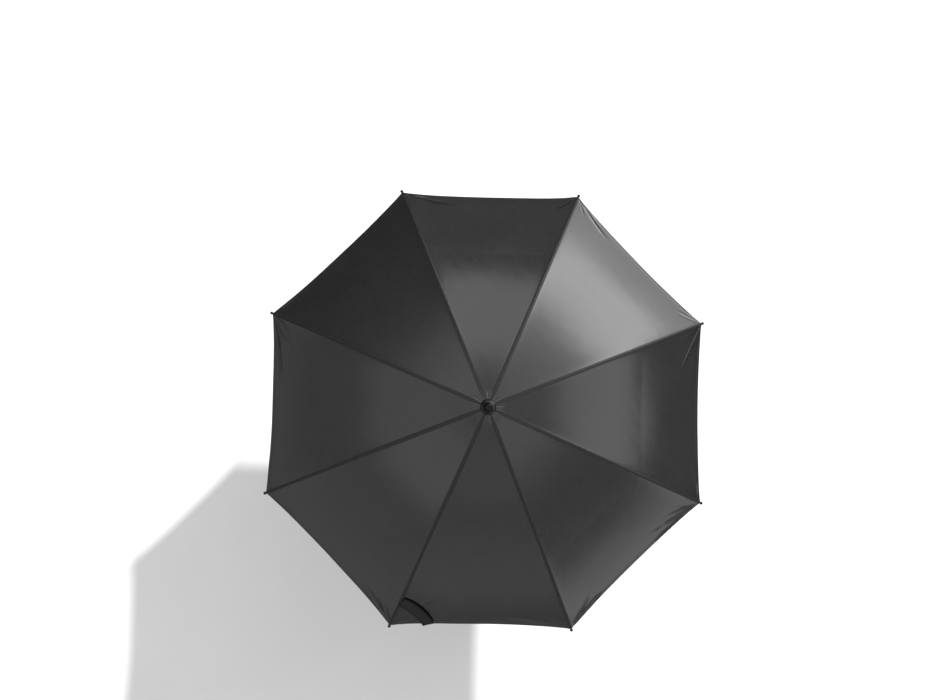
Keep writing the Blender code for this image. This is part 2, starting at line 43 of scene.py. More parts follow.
THREAD_PITCH_MM = 0.9
HEM_STITCH_ROW_MM = 8.0
HEM_STITCH_PITCH_MM = 3.2
SEAM_STITCH_PITCH_MM = 3.0
STRAP_STITCH_PITCH_MM = 2.8
HIDDEN_THREAD = 0.32  # the part of each pitch where the thread is under the cloth

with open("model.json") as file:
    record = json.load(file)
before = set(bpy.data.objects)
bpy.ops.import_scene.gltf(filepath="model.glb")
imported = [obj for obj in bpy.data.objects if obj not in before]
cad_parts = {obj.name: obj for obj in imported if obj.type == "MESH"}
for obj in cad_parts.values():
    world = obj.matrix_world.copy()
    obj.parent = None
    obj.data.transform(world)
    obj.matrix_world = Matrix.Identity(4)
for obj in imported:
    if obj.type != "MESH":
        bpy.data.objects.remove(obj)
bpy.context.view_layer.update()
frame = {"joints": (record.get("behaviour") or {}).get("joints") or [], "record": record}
joints = {joint["name"]: joint for joint in frame["joints"]}


# Small tools.
def new_object(name, data):
    made = bpy.data.objects.new(name, data)
    bpy.context.scene.collection.objects.link(made)
    return made


def rotation(axis, angle):
    """Rotation matrices about one axis, for an array of angles."""
    x, y, z = np.asarray(axis, float) / np.linalg.norm(axis)
    cross = np.array([[0, -z, y], [z, 0, -x], [-y, x, 0]])
    angle = np.asarray(angle, float)[..., None, None]
    return np.eye(3) + np.sin(angle) * cross + (1 - np.cos(angle)) * (cross @ cross)


def fade(x, low, high):
    """0 below low, 1 above high, smooth between."""
    t = np.clip((x - low) / (high - low), 0.0, 1.0)
    return t * t * (3 - 2 * t)


def azimuth_of(rib):
    return HALF + (rib - 1) * 2 * HALF


# Materials.
def principled(name):
    material = bpy.data.materials.new(name)
    material.use_nodes = True
    tree = material.node_tree
    return material, tree, tree.nodes["Principled BSDF"]


def math_node(tree, operation, a, b=None, c=None, clamp=False):
    made = tree.nodes.new("ShaderNodeMath")
    made.operation = operation
    made.use_clamp = clamp
    for slot, value in enumerate((a, b, c)):
        if value is None:
            continue
        if isinstance(value, (int, float)):
            made.inputs[slot].default_value = value
        else:
            tree.links.new(value, made.inputs[slot])
    return made.outputs[0]


def attribute(tree, name):
    made = tree.nodes.new("ShaderNodeAttribute")
    made.attribute_name = name
    return made.outputs["Fac"]


def band(tree, value, centre, half_width):
    """1 on a thin line round centre, 0 away from it."""
    away = math_node(tree, "ABSOLUTE", math_node(tree, "SUBTRACT", value, centre))
    return math_node(tree, "SUBTRACT", 1.0, math_node(tree, "DIVIDE", away, half_width), clamp=True)


def noise(tree, scale, detail=3.0, roughness=0.5, vector=None):
    made = tree.nodes.new("ShaderNodeTexNoise")
    made.inputs["Scale"].default_value = scale
    made.inputs["Detail"].default_value = detail
    made.inputs["Roughness"].default_value = roughness
    if vector is None:
        vector = tree.nodes.new("ShaderNodeTexCoord").outputs["Object"]
    tree.links.new(vector, made.inputs["Vector"])
    return made.outputs["Fac"]


def ramp(tree, value, low, high, a, b):
    made = tree.nodes.new("ShaderNodeMapRange")
    made.inputs["From Min"].default_value = low
    made.inputs["From Max"].default_value = high
    made.inputs["To Min"].default_value = a
    made.inputs["To Max"].default_value = b
    tree.links.new(value, made.inputs["Value"])
    return made.outputs["Result"]


def grey(tree, value):
    made = tree.nodes.new("ShaderNodeCombineColor")
    for channel in ("Red", "Green", "Blue"):
        tree.links.new(value, made.inputs[channel])
    return made.outputs["Color"]


def bump(tree, height, distance, strength=1.0, below=None):
    made = tree.nodes.new("ShaderNodeBump")
    made.inputs["Distance"].default_value = distance
    made.inputs["Strength"].default_value = strength
    tree.links.new(height, made.inputs["Height"])
    if below is not None:
        tree.links.new(below, made.inputs["Normal"])
    return made.outputs["Normal"]


def combine(tree, x, y, z):
    made = tree.nodes.new("ShaderNodeCombineXYZ")
    for slot, value in enumerate((x, y, z)):
        if isinstance(value, (int, float)):
            made.inputs[slot].default_value = value
        else:
            tree.links.new(value, made.inputs[slot])
    return made.outputs[0]


def times(tree, value, factor):
    return math_node(tree, "MULTIPLY", value, factor)


def dashes(tree, value, pitch):
    """1 where the thread is on top of the cloth, about two thirds of each pitch."""
    phase = math_node(tree, "FRACT", math_node(tree, "DIVIDE", value, pitch))
    return math_node(tree, "GREATER_THAN", phase, HIDDEN_THREAD)


def weave_normal(tree, along, across, below=None):
    """A plain weave of fine threads."""
    warp = math_node(tree, "SINE", times(tree, along, 2 * math.pi / THREAD_PITCH_MM))
    weft = math_node(tree, "SINE", times(tree, across, 2 * math.pi / THREAD_PITCH_MM))
    return bump(tree, times(tree, warp, weft), 0.00001, 0.5, below)


def cloth_material():
    """Black taffeta with a satin sheen, a plain weave, and stitches along its hem."""
    material, tree, shader = principled("canopy_cloth")
    seam, hem = attribute(tree, "seam_mm"), attribute(tree, "hem_mm")
    along, aside = attribute(tree, "arc_mm"), attribute(tree, "aside_mm")
    mottle = noise(tree, 170.0, 4.0, 0.6)
    broad = noise(tree, 9.0, 3.0, 0.55)
    streak_place = combine(tree, times(tree, aside, 0.30), times(tree, along, 0.012), 0.0)
    streaks = noise(tree, 1.0, 3.0, 0.6, streak_place)
    tone = math_node(
        tree, "ADD", ramp(tree, mottle, 0.3, 0.7, 0.003, 0.015), ramp(tree, broad, 0.3, 0.7, 0.0, 0.003)
    )
    hem_line = band(tree, hem, HEM_WIDTH * 1000, 0.8)
    tone = times(tree, tone, math_node(tree, "SUBTRACT", 1.0, times(tree, hem_line, 0.5)))
    stitch = times(tree, band(tree, hem, HEM_STITCH_ROW_MM, 0.5), dashes(tree, seam, HEM_STITCH_PITCH_MM))
    tone = math_node(tree, "ADD", tone, times(tree, stitch, 0.008))
    tree.links.new(grey(tree, tone), shader.inputs["Base Color"])
    normal = weave_normal(tree, along, seam)
    normal = bump(tree, mottle, 0.00009, 0.5, normal)
    normal = bump(tree, streaks, 0.00009, 0.6, normal)
    normal = bump(tree, stitch, 0.0003, 1.0, normal)
    tree.links.new(normal, shader.inputs["Normal"])
    broad_rough = ramp(tree, broad, 0.3, 0.7, 0.15, 0.18)
    fine_rough = ramp(tree, mottle, 0.35, 0.65, 0.0, 0.03)
    tree.links.new(math_node(tree, "ADD", broad_rough, fine_rough), shader.inputs["Roughness"])
    shader.inputs["Specular IOR Level"].default_value = 0.8
    return material


def seam_material():
    """Two more layers of the cloth, folded and sewn down with a row of stitches near each edge, with painted
    shade along the seam's centre groove and its folded edge.
    """
    material, tree, shader = principled("seam_cloth")
    share, along = attribute(tree, "seam_share"), attribute(tree, "arc_mm")
    mottle = noise(tree, 260.0, 4.0, 0.6)
    # painted shade: a dark line along the folded edge of the seam's layers, darkest on the side where that
    # edge shows, and another down the centre groove
    edge = times(tree, ramp(tree, share, 0.70, 0.90, 0.0, 1.0), attribute(tree, "painted_seam_edge_shade"))
    line = math_node(tree, "MAXIMUM", edge, times(tree, band(tree, share, 0.0, 0.2), 0.8))
    painted_shade_factor = math_node(tree, "SUBTRACT", 1.0, times(tree, line, 0.9))
    tone = times(tree, ramp(tree, mottle, 0.3, 0.7, 0.008, 0.020), painted_shade_factor)
    stitch = times(tree, band(tree, share, 0.72, 0.09), dashes(tree, along, SEAM_STITCH_PITCH_MM))
    tone = math_node(tree, "ADD", tone, times(tree, stitch, 0.010))
    tree.links.new(grey(tree, tone), shader.inputs["Base Color"])
    normal = weave_normal(tree, along, attribute(tree, "seam_mm"))
    normal = bump(tree, mottle, 0.0004, 0.6, normal)
    normal = bump(tree, stitch, 0.0004, 1.0, normal)
    tree.links.new(normal, shader.inputs["Normal"])
    rough = math_node(tree, "ADD", ramp(tree, mottle, 0.3, 0.7, 0.30, 0.40), times(tree, line, 0.5))
    tree.links.new(rough, shader.inputs["Roughness"])
    shader.inputs["Specular IOR Level"].default_value = 0.46
    return material


def strap_material():
    """Ribbon of the same cloth: dull, with a darker bound edge and stitches inside it."""
    material, tree, shader = principled("strap_cloth")
    edge, along = attribute(tree, "edge_mm"), attribute(tree, "along_mm")
    mottle = noise(tree, 300.0, 4.0, 0.6)
    inner = ramp(tree, edge, STRAP_BORDER * 1000 - 0.6, STRAP_BORDER * 1000 + 0.2, 0.0, 1.0)
    tone = math_node(
        tree, "ADD", ramp(tree, mottle, 0.3, 0.7, 0.0025, 0.0045), times(tree, inner, 0.007)
    )
    row = band(tree, edge, STRAP_BORDER * 1000 - 1.2, 0.45)
    stitch = times(tree, row, dashes(tree, along, STRAP_STITCH_PITCH_MM))
    tone = math_node(tree, "ADD", tone, times(tree, stitch, 0.008))
    tree.links.new(grey(tree, tone), shader.inputs["Base Color"])
    normal = weave_normal(tree, along, edge)
    normal = bump(tree, mottle, 0.0003, 0.6, normal)
    normal = bump(tree, stitch, 0.0004, 1.0, normal)
    tree.links.new(normal, shader.inputs["Normal"])
    tree.links.new(ramp(tree, inner, 0.0, 1.0, 0.62, 0.48), shader.inputs["Roughness"])
    shader.inputs["Specular IOR Level"].default_value = 0.3
    return material


UNEVENNESS = 0.15  # how much a plain surface's colour varies


def plain_material(
    name, colour, roughness, metallic=0.0, grain=400.0, grain_depth=0.00003, specular=0.5
):
    """Moulded or coated surface: a fine grain, and slightly uneven colour and gloss."""
    material, tree, shader = principled(name)
    fine = noise(tree, grain, 3.0, 0.6)
    broad = noise(tree, 35.0, 3.0, 0.6)
    shade = ramp(tree, broad, 0.25, 0.75, 1.0 - UNEVENNESS, 1.0 + UNEVENNESS)
    mix = tree.nodes.new("ShaderNodeVectorMath")
    mix.operation = "SCALE"
    mix.inputs[0].default_value = colour
    tree.links.new(shade, mix.inputs["Scale"])
    tree.links.new(mix.outputs["Vector"], shader.inputs["Base Color"])
    rough = ramp(tree, broad, 0.25, 0.75, roughness * 0.85, roughness * 1.15)
    tree.links.new(rough, shader.inputs["Roughness"])
    shader.inputs["Metallic"].default_value = metallic
    shader.inputs["Specular IOR Level"].default_value = specular
    tree.links.new(bump(tree, fine, grain_depth, 0.6), shader.inputs["Normal"])
    return material


# The canopy.
def slope(arc):
    return SLOPE_CROWN + arc / BEND


def rib_xz(arc, lift):
    angle = slope(arc)
    x = BEND * (np.sin(angle) - math.sin(SLOPE_CROWN)) + lift * np.sin(angle)
    z = BEND * (np.cos(angle) - math.cos(SLOPE_CROWN)) + lift * np.cos(angle)
    return x, z


def cloth_base(arc, share, side):
    """Points and outward directions of half a panel in its rib's frame, with no creases or wrinkles."""
    dipped = 1 - (1 - share) ** 2
    drawn = 1 - (1 - share) ** 3
    arc = arc - HEM_DIP * dipped * (arc / CLOTH_END) ** 3
    x, z = rib_xz(arc, CLOTH_LIFT)
    half_width = (PIVOT_CIRCLE + x) * math.sin(HALF)
    across = share * half_width
    sag = MEMBRANE_SAG * drawn * np.minimum(1.0, 2 * half_width / SAG_WIDTH) ** 2
    angle = slope(arc)
    outward = np.sin(angle)
    out = np.stack(
        [outward * math.cos(HALF), side * outward * math.sin(HALF), np.cos(angle) * math.cos(HALF)], -1
    )
    out /= np.linalg.norm(out, axis=-1, keepdims=True)
    points = np.stack([x - across * math.sin(HALF), side * across * math.cos(HALF), z], -1)
    return points - sag[..., None] * out, out, across


SEAM_HALF_CROWN = 0.0050
SEAM_HALF_TIP = 0.0032


def seam_half(arc):
    """Half the width of the seam's two layers, which narrows towards the tip."""
    return SEAM_HALF_CROWN + (SEAM_HALF_TIP - SEAM_HALF_CROWN) * arc / CLOTH_END


SEAM_FITS_FROM = 0.02  # half width of the panel below which its seam is narrowed to fit


def fitted_seam_half(arc, half_width):
    return seam_half(arc) * np.minimum(1.0, half_width / SEAM_FITS_FROM)


def half_width_at(arc):
    return (PIVOT_CIRCLE + rib_xz(arc, CLOTH_LIFT)[0]) * math.sin(HALF)


def along_rows():
    crown = np.arange(CLOTH_START, 0.06, 0.003)
    middle = np.arange(0.06, CLOTH_END - 0.17, 0.0062)
    outer = np.linspace(CLOTH_END - 0.17, CLOTH_END - 0.0165, 68)
    hem = CLOTH_END - np.array([0.0145, 0.0125, 0.0115, 0.0105, 0.0095, 0.0080, 0.0055, 0.0030, 0.0012, 0.0])
    return np.concatenate([crown, middle, outer, hem])


SEAM_COLUMNS = (0.0, 0.12, 0.3, 0.6, 0.85, 1.0, 1.12, 1.35)  # in half seam widths


def grid_shares(arcs):
    """Each row's shares of the way from the seam to the crease. The first few columns follow the seam."""
    half_width = half_width_at(arcs)[:, None]
    half = fitted_seam_half(arcs[:, None], half_width)
    near = np.array(SEAM_COLUMNS)[None] * half / half_width
    rest = np.concatenate([np.linspace(0, 0.6, 48)[1:], np.linspace(0.6, 1, 15)[1:]])[None]
    return np.concatenate([near, near[:, -1:] + rest * (1 - near[:, -1:])], axis=1)


def waves(x, y, seed, count, shortest, longest):
    """A smooth random height over the plan view, about -1 to 1."""
    random = np.random.default_rng(seed)
    total = np.zeros_like(x)
    for _ in range(count):
        length = random.uniform(shortest, longest)
        heading = random.uniform(0, math.pi)
        phase = random.uniform(0, 2 * math.pi)
        total += np.sin(2 * math.pi / length * (x * math.cos(heading) + y * math.sin(heading)) + phase)
    return total / math.sqrt(count)


# The pressed crease down each panel, counter-clockwise from the panel at azimuth 0: how sharp it is.
CREASES = (0.9, 0.5, 0.45, 0.15, 0.9, 0.2, 0.6, 0.15)


# Folds that fan out from the ribs' tips, where the cloth is pulled: the rib and the side that it lies on,
# its angle from the hem in degrees, then its length, half width and height in millimetres.
TIP_FOLDS = (
    (1, -1, 29, 165, 2.6, 0.34),
    (1, -1, 24, 80, 2.2, 0.30),
    (1, -1, 9, 115, 3.0, -0.30),
    (1, -1, 50, 80, 2.4, 0.22),
    (1, 1, 22, 90, 2.0, 0.24),
    (1, 1, 30, 78, 2.0, -0.22),
    (1, 1, 4, 80, 2.4, 0.26),
    (2, -1, 15, 155, 4.6, 0.34),
    (2, -1, 33, 70, 3.0, 0.24),
    (2, -1, 6, 110, 3.6, -0.26),
    (2, 1, 45, 98, 2.4, 0.26),
    (2, 1, 3, 50, 2.0, 0.34),
    (2, 1, 36, 74, 2.4, -0.26),
    (3, -1, 14, 165, 5.0, -0.40),
    (3, -1, 21, 125, 4.0, 0.30),
    (3, -1, 31, 84, 3.4, 0.24),
    (3, 1, 7, 170, 4.4, 0.24),
    (4, -1, 3, 140, 3.6, 0.30),
    (4, -1, 13, 98, 3.4, -0.30),
    (4, -1, 24, 70, 3.0, 0.26),
    (4, 1, 14, 190, 4.4, -0.42),
    (4, 1, 21, 110, 3.0, 0.26),
    (4, 1, 33, 128, 3.4, 0.28),
    (4, 1, 50, 126, 3.4, -0.28),
    (4, 1, 58, 100, 3.0, 0.20),
    (5, 1, 11, 115, 4.2, 0.20),
    (5, -1, 6, 90, 4.0, 0.16),
    (6, -1, 4, 130, 3.6, 0.34),
    (6, -1, 17, 124, 3.4, -0.36),
    (6, -1, 26, 96, 3.0, 0.32),
    (6, -1, 36, 66, 2.8, -0.26),
    (6, 1, 41, 175, 3.4, 0.20),
    (6, 1, 12, 80, 3.2, 0.22),
    (7, -1, 13, 185, 7.0, -0.46),
    (7, -1, 25, 90, 3.6, 0.18),
    (7, 1, 2, 140, 4.0, 0.44),
    (7, 1, 10, 142, 3.2, -0.42),
    (7, 1, 18, 116, 3.0, 0.34),
    (7, 1, 24, 76, 2.6, -0.26),
    (8, -1, 6, 168, 3.4, 0.44),
    (8, -1, 12, 150, 3.0, -0.42),
    (8, -1, 18, 158, 3.2, 0.42),
    (8, -1, 28, 122, 3.0, -0.30),
    (8, -1, 37, 92, 3.0, 0.22),
    (8, 1, 12, 115, 3.4, 0.22),
    (8, 1, 54, 150, 3.2, 0.14),
)

FOLD_SIZE = 3.2  # multiplies the heights above


def tip_folds(arc, across, rib, side):
    """The heights of a half panel's folds. Each is sharp by the tip and widens as it runs out."""
    in_line = (CLOTH_END - arc) * math.cos(HALF)
    to_side = (CLOTH_END - arc) * math.sin(HALF) + across
    run = np.hypot(in_line, to_side)
    from_hem = np.degrees(np.arctan2(in_line, to_side))
    total = np.zeros_like(arc)
    for number, (fold_rib, fold_side, angle, length, half_width, height) in enumerate(TIP_FOLDS):
        if (fold_rib, fold_side) != (rib, side):
            continue
        length, half_width, height = length / 1000, half_width / 1000, height / 1000
        bent = angle + 5 * math.sin(2.4 * number) * (run / length) ** 2
        aside = run * np.sin(np.radians(from_hem - bent))
        wide = half_width * (0.5 + 0.7 * np.minimum(run / length, 1.0))
        grown = fade(run, 0.0, 0.2 * length) * (1 - fade(run, 0.6 * length, 1.15 * length))
        total += height * grown * np.exp(-((aside / wide) ** 2))
    return FOLD_SIZE * total * fade(across, 0.002, 0.010)


# Short folds that leave a seam at a slant: rib, side, where along the rib, slant and length in metres.
RIB_PULLS = (
    (7, -1, 0.535, 0.9, 0.050),
    (7, -1, 0.555, 0.7, 0.045),
    (7, -1, 0.500, 1.2, 0.040),
    (1, 1, 0.470, 0.5, 0.030),
    (1, 1, 0.520, 0.8, 0.026),
    (2, -1, 0.450, 0.6, 0.030),
    (3, -1, 0.500, -0.4, 0.034),
    (4, 1, 0.420, 0.7, 0.030),
    (6, 1, 0.560, 0.6, 0.030),
    (8, -1, 0.450, 0.8, 0.036),
)
PULL_HEIGHT = 0.00035


def rib_pulls(arc, across, rib, side):
    """The heights of a half panel's slanting folds."""
    total = np.zeros_like(arc)
    for pull_rib, pull_side, start, slant, length in RIB_PULLS:
        if (pull_rib, pull_side) == (rib, side):
            aside = (arc - start - slant * across) / math.hypot(1.0, slant)
            total += np.exp(-((aside / 0.004) ** 2)) * fade(across, 0.002, 0.012) * np.exp(-across / length)
    return PULL_HEIGHT * total


def cloth_height(arc, share, across, x, y, rib, side):
    """How far the cloth stands off its smooth shape."""
    panel = (rib if side > 0 else rib - 1) % RIBS
    half_width = half_width_at(arc)
    to_crease = half_width - across
    to_hem = CLOTH_END - arc
    free = fade(across, 0.0, 0.05)
    half = fitted_seam_half(arc, half_width)
    band = 0.0007 * (1 - fade(across, 0.85 * half, 1.12 * half))
    groove = -0.0005 * np.exp(-((across / 0.0007) ** 2))
    ridge = 0.0012 * np.exp(-across / 0.006) * fade(arc, 0.03, 0.2)
    hem = 0.0003 * (1 - fade(to_hem, HEM_WIDTH - 0.0005, HEM_WIDTH + 0.0012))
    crease = 0.00007 * CREASES[panel] * np.exp(-to_crease / 0.004) * fade(arc, 0.06, 0.14)
    broad = 0.0005 * waves(x, y, 7, 7, 0.16, 0.34) * free
    mid = 0.00004 * waves(x, y, 8, 9, 0.03, 0.08) * free
    azimuth = np.arctan2(y, x)
    pucker = np.cos(34 * azimuth) + 0.8 * np.cos(21 * azimuth + 1.0) + 0.6 * np.cos(13 * azimuth + 2.0)
    pucker = 0.0003 * pucker * np.exp(-(((arc - 0.02) / 0.012) ** 2))
    folds = tip_folds(arc, across, rib, side) + rib_pulls(arc, across, rib, side)
    return band + groove + ridge + hem + crease + broad + mid + pucker + folds


def crease_weights(rib, side, crease):
    """How far each point of a half panel's crease follows the gathering body, so that it comes into the
    plane half-way to the next rib when the frame is folded."""
    fold = joints["canopy_fold" if rib == 1 else f"rib_{rib}_fold"]
    gather = joints[f"gather_{'left' if side > 0 else 'right'}_{rib}"]
    pivot = np.array(fold["pos_m"])
    folded = math.radians(joints["canopy_fold"]["range_deg"][1])
    couplings = frame["record"]["behaviour"]["couplings"]
    ratio = next(c["ratio"] for c in couplings if c["joint"] == gather["name"])
    turn = rotation(fold["axis"], folded)
    plane = azimuth_of(rib) + side * HALF
    normal = np.array([-math.sin(plane), math.cos(plane), 0.0])

    def off(weight):
        moved = np.einsum("nij,nj->ni", rotation(gather["axis"], weight * folded * ratio), crease - pivot)
        return (pivot + moved @ turn.T) @ normal

    low, high = np.full(len(crease), 0.2), np.full(len(crease), 1.6)
    sign = np.sign(off(low))
    for _ in range(40):
        middle = (low + high) / 2
        same = np.sign(off(middle)) == sign
        low, high = np.where(same, middle, low), np.where(same, high, middle)
    return np.clip((low + high) / 2, 0.0, 1.0)


def bend_cloth(piece, weights):
    """Bakes the piece's placing into its mesh."""
    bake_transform(piece)


def rib_frame(rib):
    """Where a rib is pinned, and its direction in plan."""
    outward = np.array([math.cos(azimuth_of(rib)), math.sin(azimuth_of(rib)), 0.0])
    return np.array([0.0, 0.0, CROWN_Z]) + PIVOT_CIRCLE * outward, outward


def to_world(rib, local, out):
    """Points and directions in a rib's frame, given in the row frame."""
    turn = np.array(Matrix.Rotation(azimuth_of(rib), 3, "Z"))
    return rib_frame(rib)[0] + local @ turn.T, out @ turn.T


# Each seam's layers are folded to one side, where their edge shows and the painted shade along it is
# darkest: 1 is the left of the rib.
SEAM_LIES = (1, 1, -1, -1, -1, 1, -1, 1)


def sheet_faces(rows, columns, flipped=False):
    corner = (np.arange(rows - 1)[:, None] * columns + np.arange(columns - 1)[None]).ravel()
    faces = np.stack([corner, corner + columns, corner + columns + 1, corner + 1], -1)
    return faces[:, ::-1] if flipped else faces


def set_fields(data, fields):
    for name, values in fields.items():
        data.attributes.new(name, "FLOAT", "POINT").data.foreach_set("value", values.astype(np.float32))


RIM_ANGLE = math.radians(55)  # edges sharper than this are shaded as edges


def thicken(piece, thickness):
    shell = piece.modifiers.new("thickness", "SOLIDIFY")
    shell.thickness = thickness
    shell.offset = 0.0
    piece.modifiers.new("sharp_rim", "EDGE_SPLIT").split_angle = RIM_ANGLE


def make_half_panel(rib, side, cloth, seam_cloth):
    arcs = along_rows()
    shares = grid_shares(arcs)
    rows, columns = shares.shape
    arc, share = np.repeat(arcs, columns), shares.ravel()
    local, out, across = cloth_base(arc, share, side)
    points, out = to_world(rib, local, out)
    height = cloth_height(arc, share, across, points[:, 0], points[:, 1], rib, side)
    points = points + height[:, None] * out
    plane = azimuth_of(rib) + side * HALF
    normal = np.array([-math.sin(plane), math.cos(plane), 0.0])
    last = np.arange(rows) * columns + columns - 1
    points[last] -= (points[last] @ normal)[:, None] * normal
    word = "left" if side > 0 else "right"
    data = bpy.data.meshes.new(f"cloth_{word}_of_rib_{rib}")
    data.from_pydata(points.tolist(), [], sheet_faces(rows, columns, side < 0).tolist())
    data.shade_smooth()
    half_width = half_width_at(arc)
    fields = {
        "seam_mm": across * 1000,
        "seam_share": across / fitted_seam_half(arc, half_width),
        "painted_seam_edge_shade": np.full_like(arc, 1.0 if side == SEAM_LIES[rib - 1] else 0.35),
        "hem_mm": (CLOTH_END - arc) * 1000,
        "arc_mm": arc * 1000,
        "aside_mm": (half_width - across) * 1000 * side + 400.0 * rib,
    }
    set_fields(data, fields)
    data.materials.append(cloth)
    data.materials.append(seam_cloth)
    in_seam = np.zeros((rows - 1, columns - 1), int)
    in_seam[:, : len(SEAM_COLUMNS) - 2] = 1
    data.polygons.foreach_set("material_index", in_seam.ravel())
    panel = new_object(data.name, data)
    edge = crease_weights(rib, side, points[last])
    bend_cloth(panel, (edge[:, None] * shares).ravel())
    thicken(panel, CLOTH_THICKNESS)
    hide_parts(f"panel_{word}_of_rib_{rib}")
    return panel


def make_canopy(cloth, seam_cloth):
    for rib in range(1, RIBS + 1):
        for side in (1, -1):
            make_half_panel(rib, side, cloth, seam_cloth)


# The tie strap, sewn to the seam of rib 6 and lying on the panel to its left.
STRAP_RIB = 6
STRAP_ARC = 0.603
STRAP_START = 0.003
STRAP_HEADING = math.radians(34.0)
STRAP_TURN = math.radians(38.0)
STRAP_WIDTH = 0.032
STRAP_LENGTH = 0.120
STRAP_BORDER = 0.0042
STRAP_THICKNESS = 0.0009
STRAP_STEPS = 200


def strap_places(along, across):
    """The arc and the distance from the seam of each point of the strap, which curls towards the hem."""
    steps = np.linspace(0, 1, STRAP_STEPS + 1)
    heading = STRAP_HEADING + STRAP_TURN * steps
    run = STRAP_LENGTH / STRAP_STEPS
    beside = STRAP_START + np.concatenate([[0], np.cumsum(run * np.cos(heading[:-1]))])
    down = np.concatenate([[0], np.cumsum(run * np.sin(heading[:-1]))])
    beside, down = np.interp(along, steps, beside), np.interp(along, steps, down)
    heading = STRAP_HEADING + STRAP_TURN * along
    offset = (across - 0.5) * STRAP_WIDTH
    beside = beside - offset * np.sin(heading)
    down_rib = (down + offset * np.cos(heading)) / math.cos(HALF)
    arc = STRAP_ARC + down_rib
    return arc, beside + down_rib * np.cos(slope(arc)) * math.sin(HALF)


def make_strap(material):
    rows, columns = 90, 29
    along, across = np.meshgrid(np.linspace(0, 1, rows), np.linspace(0, 1, columns), indexing="ij")
    along, across = along.ravel(), across.ravel()
    arc, beside = strap_places(along, across)
    share = np.clip(beside / half_width_at(arc), 0.0, 1.0)
    local, out, _ = cloth_base(arc, share, 1)
    back = np.array([math.sin(HALF), -math.cos(HALF), 0.0])
    local = local + np.maximum(0.0, -beside)[:, None] * back
    points, out = to_world(STRAP_RIB, local, out)
    edge = np.minimum(across, 1 - across) * STRAP_WIDTH
    edge = np.minimum(edge, (1 - along) * STRAP_LENGTH)
    lift = 0.0030 + 0.0018 * np.sin(math.pi * along)
    lift += 0.0007 * (1 - fade(edge, STRAP_BORDER - 0.0008, STRAP_BORDER))
    lift += 0.0006 * np.sin(3.2 * math.pi * along + 0.6) * np.sin(math.pi * across)
    lift += 0.0009 * np.exp(-(((along - 0.55 + 0.25 * (across - 0.5)) / 0.035) ** 2))
    points = points + lift[:, None] * out
    data = bpy.data.meshes.new("tie_strap_cloth")
    data.from_pydata(points.tolist(), [], sheet_faces(rows, columns).tolist())
    data.shade_smooth()
    set_fields(data, {"edge_mm": edge * 1000, "along_mm": along * STRAP_LENGTH * 1000})
    data.materials.append(material)
    strap = new_object(data.name, data)
    crease, crease_out, _ = cloth_base(arc, np.ones_like(arc), 1)
    crease, _ = to_world(STRAP_RIB, crease, crease_out)
    bend_cloth(strap, crease_weights(STRAP_RIB, 1, crease) * share)
    thicken(strap, STRAP_THICKNESS)
    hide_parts("tie_strap")


def coat_frame():
    """Better materials on the CAD nodes that stay."""
    coats = {
        "black_plastic": plain_material("moulded_plastic", (0.004, 0.004, 0.004), 0.13, specular=0.35),
        "black_rod": plain_material("fibreglass_rod", (0.015, 0.015, 0.015), 0.35),
        "black_steel": plain_material("coated_steel", (0.018, 0.018, 0.018), 0.3, 0.0, 900.0),
        "wire_steel": plain_material("drawn_wire", (0.6, 0.6, 0.6), 0.3, 1.0, 900.0),
        "grip_foam": plain_material("foam_grip", (0.016, 0.016, 0.016), 0.8, 0.0, 1500.0, 0.0002),
        "strap_fabric": plain_material("strap_cloth", (0.008, 0.008, 0.008), 0.8, 0.0, 900.0, 0.0001),
        "canopy_fabric": plain_material("hidden_cloth", (0.012, 0.012, 0.012), 0.6),
    }
    slots = {entry["node"]: entry["material_slot"] for entry in frame["record"]["subparts"]}
    for name, slot in slots.items():
        piece = bpy.data.objects.get(name)
        if piece is None:
            continue
        for held in piece.material_slots:
            held.material = coats[slot]


# Floor, light and camera. The key lights only the floor; the soft boxes, in the world, light the umbrella.
KEY_DIRECTION = (0.59, 0.80, 0.63)
KEY_STRENGTH = 5.8
KEY_ANGLE = 2.4  # in degrees, which sets how soft the shadow's edge is


FLOOR_HALF_SIZE = 60.0
DOME_RADIUS = 50.0


def paint(tree, shader, scale, dark, light):
    """An almost even grey."""
    tone = ramp(tree, noise(tree, scale), 0.3, 0.7, dark, light)
    tree.links.new(grey(tree, tone), shader.inputs["Base Color"])


def make_stage():
    size = FLOOR_HALF_SIZE
    data = bpy.data.meshes.new("floor")
    corners = [(-size, -size, 0), (size, -size, 0), (size, size, 0), (-size, size, 0)]
    data.from_pydata(corners, [], [(0, 1, 2, 3)])
    material, tree, shader = principled("floor_paint")
    paint(tree, shader, 3.0, 0.75, 0.77)
    shader.inputs["Roughness"].default_value = 0.9
    shader.inputs["Specular IOR Level"].default_value = 0.1
    data.materials.append(material)
    floor = new_object("floor", data)
    floor.location = (0.0, 0.0, -FLOOR_DROP)
    floor.visible_glossy = False
    make_backdrop()

    lit = bpy.data.collections.new("lit_by_key")
    lit.objects.link(floor)
    data = bpy.data.lights.new("floor_key", "SUN")
    data.energy = KEY_STRENGTH
    data.angle = math.radians(KEY_ANGLE)
    light = new_object("floor_key", data)
    light.rotation_mode = "QUATERNION"
    light.rotation_quaternion = Vector(KEY_DIRECTION).to_track_quat("Z", "Y")
    light.location = Vector(KEY_DIRECTION) * 4
    light.light_linking.receiver_collection = lit


